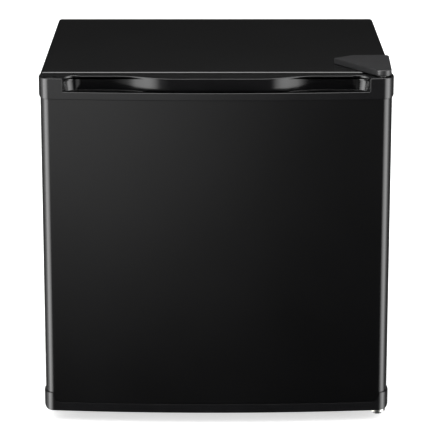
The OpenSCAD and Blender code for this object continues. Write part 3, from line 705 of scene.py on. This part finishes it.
class FRIDGE_OT_door_panel(bpy.types.Operator):
    """Spins the door's bowed sheet from one upright edge, then turns its corners and sides back"""

    bl_idname = "fridge.door_panel"
    bl_label = "Door panel"

    def execute(self, context):
        half, back = PANEL_HIGH.x, PANEL_HIGH.y
        radius = (CAP_HIGH.x ** 2 + sizes().door_bow ** 2) / (2 * sizes().door_bow)
        centre_y = CAP_LOW.y + radius
        bow = centre_y - PANEL_LOW.y
        corner = sizes().door_corner
        corner_x = half - corner
        corner_y = centre_y - math.sqrt((bow - corner) ** 2 - corner_x ** 2)
        swing = math.atan2(corner_x, centre_y - corner_y)
        obj = self.upright_edge(context, -(bow * math.sin(swing)), centre_y - bow * math.cos(swing))
        bpy.ops.mesh.select_all(action="SELECT")
        bpy.ops.mesh.spin(
            steps=sizes().arc_steps, angle=2 * swing, center=(0, centre_y, 0), axis=(0, 0, -1))
        quarter = math.pi / 2 - swing
        for side in (-1, 1):
            edge_x = side * bow * math.sin(swing)
            pick_edges(obj, lambda place: near(place.x, edge_x, FINE))
            bpy.ops.mesh.spin(
                steps=CORNER_STEPS, angle=side * quarter,
                center=(side * corner_x, corner_y, 0), axis=(0, 0, -1))
            pick_edges(obj, lambda place: near(place.x, side * half, FINE) and near(place.y, corner_y, FINE))
            for step in ((0, back - corner_y, 0), (-side * SHEET_RETURN, 0, 0)):
                bpy.ops.mesh.extrude_region_move(TRANSFORM_OT_translate={"value": step})
        bpy.ops.mesh.select_all(action="SELECT")
        bpy.ops.mesh.remove_doubles(threshold=FINE_WELD)
        bpy.ops.mesh.normals_make_consistent(inside=False)
        leave()
        modify(obj, "SOLIDIFY", thickness=sizes().sheet, offset=self.inward(obj), use_even_offset=True)
        smooth(obj, angle=40)
        settle(obj, "door_panel_sheet", "door", finish_of("black_steel"), "black_steel", "door_panel")
        return {"FINISHED"}

    def upright_edge(self, context, x, y):
        """A plane cut down to one upright edge, left open in edit mode."""
        bpy.ops.object.select_all(action="DESELECT")
        bpy.ops.mesh.primitive_plane_add(size=1, location=(0, 0, 0))
        obj = context.active_object
        edit(obj)
        bpy.ops.mesh.select_all(action="SELECT")
        bpy.ops.mesh.delete(type="ONLY_FACE")
        bm = bmesh.from_edit_mesh(obj.data)
        for vert in list(bm.verts)[2:]:
            bm.verts.remove(vert)
        bm.verts.ensure_lookup_table()
        bm.verts[0].co = (x, y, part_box("door_bottom_cap")[0].z + SHEET_RISE)
        bm.verts[1].co = (x, y, CAP_LOW.z)
        bmesh.update_edit_mesh(obj.data)
        return obj

    def inward(self, obj):
        """Which way the sheet's thickness goes, from the normal of its middle face."""
        middle = min(obj.data.polygons, key=lambda p: abs(p.center.x) + abs(p.center.y - CAP_LOW.y))
        return -1 if middle.normal.y < 0 else 1


class FRIDGE_OT_top_trim(bpy.types.Operator):
    """Leans the handle's walls and rounds the top trim's edges"""

    bl_idname = "fridge.top_trim"
    bl_label = "Top trim"

    def execute(self, context):
        obj = merged_copy("door_top_cap")
        edit(obj)
        bpy.ops.mesh.select_mode(type="VERT")
        bm = bmesh.from_edit_mesh(obj.data)
        for vert in [v for v in bm.verts if self.on_wall_top(v.co)]:
            bpy.ops.mesh.select_all(action="DESELECT")
            vert.select_set(True)
            bpy.ops.transform.translate(value=self.lean(vert.co))
        leave()
        round_edges(obj, 0.7 * MM, 3, clamp=False)
        settle(obj, "door_top_trim", "door", finish_of("black_plastic"), "black_plastic", "door_top_cap")
        return {"FINISHED"}

    def on_wall_top(self, place):
        """True for the upper end of the handle's wall."""
        x, y = abs(place.x), place.y
        deep = CAP_LOW.y + WALL_FRONT < y < CAP_LOW.y + WALL_BACK
        inside = x < WALL_END and (x < RIM_X or y > CAP_LOW.y + RIM_Y)
        return near(place.z, CAP_HIGH.z) and deep and inside

    def lean(self, place):
        """The flat walls lean forward, the waves and the round ends lean back."""
        x, side = abs(place.x), (1 if place.x > 0 else -1)
        turned = min(1, max(0, (x - END_X) / END_R))
        end = min(1, max(0, (x - END_X) / END_BLEND))
        wave = max(0, 1 - abs(x - WAVE_X) / WAVE_REACH)
        amount = sizes().wall_lean * (1 - END_BACK * end - WAVE_BACK * wave)
        return (-amount * side * turned, -amount * math.sqrt(1 - turned * turned), 0)


ROUNDED = (
    # node, piece, radius in mm, steps, finish
    ("door_bottom_cap", "door_bottom_trim", 1.4, 3, "black_plastic"),
    ("hinge_cover", "hinge_cover_shell", 1.2, 3, "cover_plastic"),
    ("inner_liner", "inner_liner_shell", 3.0, 3, "liner_plastic"),
    ("door_liner", "door_liner_shell", 3.0, 3, "liner_plastic"),
    ("door_gasket", "door_gasket_strip", 1.6, 3, "gasket_rubber"),
    ("door_pin_plugs", "spare_hole_plugs", 0.5, 2, "black_plastic"),
    ("upper_door_rack", "upper_rack_bin", 0.8, 2, "clear_plastic"),
    ("lower_door_rack", "lower_rack_bin", 0.8, 2, "clear_plastic"),
    ("chiller_bezel", "chiller_bezel_frame", 1.2, 2, "white_plastic"),
    ("chiller_flap", "chiller_flap_door", 0.8, 2, "clear_plastic"),
    ("drip_tray", "drip_tray_bin", 0.8, 2, "clear_plastic"),
    ("thermostat_housing", "thermostat_cover", 1.5, 2, "white_plastic"),
    ("thermostat_knob", "thermostat_dial", 0.5, 2, "white_plastic"),
    ("shelf_trim", "shelf_front_trim", 0.8, 2, "white_plastic"),
    ("glass_shelf", "shelf_pane", 0.8, 2, "glass"),
    ("upper_hinge_plate", "upper_hinge_leaf", 0.4, 2, "zinc_steel"),
    ("lower_hinge_bracket", "lower_hinge_leaf", 0.5, 2, "zinc_steel"),
    ("lower_hinge_pin", "lower_hinge_stud", 0.5, 2, "zinc_steel"),
    ("compressor_plate", "compressor_tray", 0.3, 1, "bare_steel"),
    ("terminal_cover", "terminal_cap", 1.2, 2, "dull_plastic"),
    ("evaporation_tray", "evaporation_pan", 0.6, 2, "dull_plastic"),
    ("left_foot", "left_levelling_foot", 0.5, 2, "dull_plastic"),
    ("right_foot", "right_levelling_foot", 0.5, 2, "dull_plastic"),
    ("rear_feet", "rear_glides", 0.6, 2, "dull_plastic"),
    ("cord_gland", "cord_bushing", 0.4, 2, "dull_plastic"),
    ("condenser_brackets", "condenser_clips", 0.4, 1, "bare_steel"),
    ("tray_runners", "drip_tray_runners", 0.4, 1, "white_plastic"),
)


class FRIDGE_OT_mouldings(bpy.types.Operator):
    """Rounds the edges of the moulded and pressed pieces"""

    bl_idname = "fridge.mouldings"
    bl_label = "Mouldings"

    def execute(self, context):
        for node, piece, radius, steps, finish in ROUNDED:
            obj = merged_copy(node)
            round_edges(obj, radius * MM, steps, clamp=True)
            settle(obj, piece, BODY_OF[node], finish_of(finish), SLOT_OF[node], node)
        return {"FINISHED"}


class FRIDGE_OT_plain_nodes(bpy.types.Operator):
    """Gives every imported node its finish, and draws the foam a little smaller"""

    bl_idname = "fridge.plain_nodes"
    bl_label = "Tubes, wires and screws"

    def execute(self, context):
        for node, obj in frame["nodes"].items():
            obj.data.materials.clear()
            obj.data.materials.append(finish_of(SLOT_OF[node]))
        for node in ("cabinet_foam", "door_foam"):
            shrink = frame["nodes"][node].modifiers.new("Shrink", "DISPLACE")
            shrink.mid_level = 0
            shrink.strength = -sizes().foam_gap
        return {"FINISHED"}


# ---------- studio ----------

LIGHTS = (
    # name, place, size, share of the key light's power
    ("key", (-1.6, -2.2, 2.6), 1.6, 1.0),
    ("fill", (2.2, -1.6, 1.8), 1.8, 0.5),
    ("back", (0.3, 2.6, 2.6), 2.2, 0.6),
)

# How a card faces
QUARTER_TURN = math.pi / 2
FACING_RIGHT = (QUARTER_TURN, 0, QUARTER_TURN)
FACING_LEFT = (QUARTER_TURN, 0, -QUARTER_TURN)
FACING_FRONT = (QUARTER_TURN, 0, 0)
LEVEL = (0, 0, 0)

# How a card's glow fades: the card's own axis, where the fade starts and ends in shares of the
# card's side from its middle, and the glow at the start and at the end
BAND = (("Y", -0.205, -0.09, 0.06, 1.0), ("Y", 0.2, 0.3, 1.0, 0.03))
LEFT_FADE = (*BAND, ("X", -0.28, 0.27, 0.04, 1.0), ("X", 0.27, 0.42, 1.0, 0.2))
RIGHT_FADE = (*BAND, ("X", -0.27, 0.28, 1.0, 0.04), ("X", -0.42, -0.27, 0.2, 1.0))
FRONT_FADE = (("X", -0.27, 0.22, 1.0, 0.1), ("Y", -0.12, 0.24, 0.02, 1.0), ("Y", -0.25, 0.24, 0.25, 1.0))
RISE = (("Y", -0.02, 0.14, 0.2, 1.0),)

CARDS = (
    # name, place, turn, size, strength, fades
    ("card_left", (-2.0, -2.3, -0.2), FACING_RIGHT, (5.2, 4.4), 7.6, LEFT_FADE),
    ("card_right", (2.0, -2.3, -0.2), FACING_LEFT, (5.2, 4.4), 6.6, RIGHT_FADE),
    ("card_left_back", (-2.0, 2.2, 0.0), FACING_RIGHT, (3.8, 4), 0.3, ()),
    ("card_right_back", (2.0, 2.0, 0.0), FACING_LEFT, (3.8, 4), 0.2, ()),
    ("card_front", (0, -3.6, -0.9), FACING_FRONT, (4.6, 3), 1.15, FRONT_FADE),
    ("card_above", (0, -0.7, 2.2), LEVEL, (3, 2.6), 6, ()),
    ("card_behind", (0, 3.5, 1.2), FACING_FRONT, (6, 3), 0.1, RISE),
)


def multiplied(tree, value, by):
    """A value times another one, or times a number."""
    times = tree.nodes.new("ShaderNodeMath")
    times.operation = "MULTIPLY"
    tree.links.new(value, times.inputs[0])
    if isinstance(by, float):
        times.inputs[1].default_value = by
    else:
        tree.links.new(by, times.inputs[1])
    return times.outputs[0]


def card_glow(name, strength, fades):
    """An even white glow, or one that fades along the card's own X or Y."""
    material = bpy.data.materials.new(name)
    material.use_nodes = True
    tree = material.node_tree
    tree.nodes.clear()
    out = tree.nodes.new("ShaderNodeOutputMaterial")
    glow = tree.nodes.new("ShaderNodeEmission")
    glow.inputs["Strength"].default_value = strength
    tree.links.new(glow.outputs["Emission"], out.inputs["Surface"])
    if not fades:
        return material
    coord = tree.nodes.new("ShaderNodeTexCoord")
    split = tree.nodes.new("ShaderNodeSeparateXYZ")
    tree.links.new(coord.outputs["Object"], split.inputs["Vector"])
    total = None
    for axis, start, end, low, high in fades:
        span = tree.nodes.new("ShaderNodeMapRange")
        span.interpolation_type = "SMOOTHSTEP"
        for socket, value in (("From Min", start), ("From Max", end), ("To Min", low), ("To Max", high)):
            span.inputs[socket].default_value = value
        tree.links.new(split.outputs[axis], span.inputs["Value"])
        value = span.outputs["Result"]
        total = value if total is None else multiplied(tree, total, value)
    tree.links.new(multiplied(tree, total, float(strength)), glow.inputs["Strength"])
    return material


def reflector(name, place, turn, size, strength, fades):
    """A soft white card that only shows as a reflection."""
    bpy.ops.object.select_all(action="DESELECT")
    bpy.ops.mesh.primitive_plane_add(size=1, location=place, rotation=turn)
    card = bpy.context.active_object
    card.name = name
    card.scale = (*size, 1)
    card.data.materials.append(card_glow(name, strength, fades))
    card.visible_camera = False
    card.visible_diffuse = False
    card.visible_shadow = False
    card.visible_transmission = False
    card.visible_volume_scatter = False


class FRIDGE_OT_studio(bpy.types.Operator):
    """Sets up the pale floor, the soft lights, the reflectors and the camera"""

    bl_idname = "fridge.studio"
    bl_label = "Studio"

    def execute(self, context):
        studio = context.scene.fridge_studio
        self.camera(context, studio)
        self.floor()
        self.sky(context, studio)
        for name, place, size, share in LIGHTS:
            self.light(context, name, place, size, studio.key * share)
        for card in CARDS:
            reflector(*card)
        context.scene.view_settings.view_transform = "Standard"
        return {"FINISHED"}

    def camera(self, context, studio):
        """A level-sided camera that looks down, and a hair to the right."""
        data = bpy.data.cameras.new("camera")
        data.sensor_width = 36
        data.lens = studio.lens
        camera = bpy.data.objects.new("camera", data)
        context.scene.collection.objects.link(camera)
        camera.location = studio.camera_place
        camera.rotation_euler = (math.pi / 2 - studio.camera_pitch, 0, math.radians(-0.11))
        context.scene.camera = camera

    def floor(self):
        """A pale matt floor that glows a little, so that it stays white."""
        bpy.ops.object.select_all(action="DESELECT")
        bpy.ops.mesh.primitive_plane_add(size=60, location=(0, 0, 0))
        floor = bpy.context.active_object
        floor.name = "floor"
        material = bpy.data.materials.new("pale_floor")
        material.use_nodes = True
        shader = material.node_tree.nodes["Principled BSDF"]
        shader.inputs["Base Color"].default_value = (0.93, 0.93, 0.93, 1)
        shader.inputs["Roughness"].default_value = 0.9
        shader.inputs["Specular IOR Level"].default_value = 0.1
        shader.inputs["Emission Color"].default_value = (1, 1, 1, 1)
        shader.inputs["Emission Strength"].default_value = 0.6
        floor.data.materials.append(material)
        floor.visible_glossy = False

    def sky(self, context, studio):
        """White surroundings that light the fridge but don't show in its gloss."""
        world = bpy.data.worlds.new("studio")
        context.scene.world = world
        world.use_nodes = True
        shader = world.node_tree.nodes["Background"]
        shader.inputs["Color"].default_value = (1, 1, 1, 1)
        shader.inputs["Strength"].default_value = studio.sky
        world.cycles_visibility.glossy = False

    def light(self, context, name, place, size, power):
        """A soft square light aimed at the fridge."""
        data = bpy.data.lights.new(name, "AREA")
        data.size = size
        data.energy = power
        light = bpy.data.objects.new(name, data)
        context.scene.collection.objects.link(light)
        light.location = place
        light.rotation_euler = (Vector((0, 0, 0.2)) - Vector(place)).to_track_quat("-Z", "Y").to_euler()
        light.visible_camera = False
        light.visible_glossy = False


class FRIDGE_PT_panel(bpy.types.Panel):
    """Lists the fridge's pieces"""

    bl_label = "Mini fridge"
    bl_idname = "FRIDGE_PT_panel"
    bl_space_type = "VIEW_3D"
    bl_region_type = "UI"
    bl_category = "Fridge"

    def draw(self, context):
        for operator in OPERATORS:
            self.layout.operator(operator.bl_idname)


OPERATORS = (
    FRIDGE_OT_studio,
    FRIDGE_OT_plain_nodes,
    FRIDGE_OT_outer_case,
    FRIDGE_OT_door_panel,
    FRIDGE_OT_top_trim,
    FRIDGE_OT_mouldings,
)
CLASSES = (FridgeSizes, FridgeFinishes, FridgeStudio, *OPERATORS, FRIDGE_PT_panel)


def register():
    for each in CLASSES:
        bpy.utils.register_class(each)
    bpy.types.Scene.fridge_sizes = PointerProperty(type=FridgeSizes)
    bpy.types.Scene.fridge_finishes = PointerProperty(type=FridgeFinishes)
    bpy.types.Scene.fridge_studio = PointerProperty(type=FridgeStudio)


def unregister():
    del bpy.types.Scene.fridge_sizes
    del bpy.types.Scene.fridge_finishes
    del bpy.types.Scene.fridge_studio
    for each in reversed(CLASSES):
        bpy.utils.unregister_class(each)


def main():
    register()
    bpy.ops.fridge.studio()
    bpy.ops.fridge.plain_nodes()
    bpy.ops.fridge.outer_case()
    bpy.ops.fridge.door_panel()
    bpy.ops.fridge.top_trim()
    bpy.ops.fridge.mouldings()


if __name__ == "__main__":
    main()
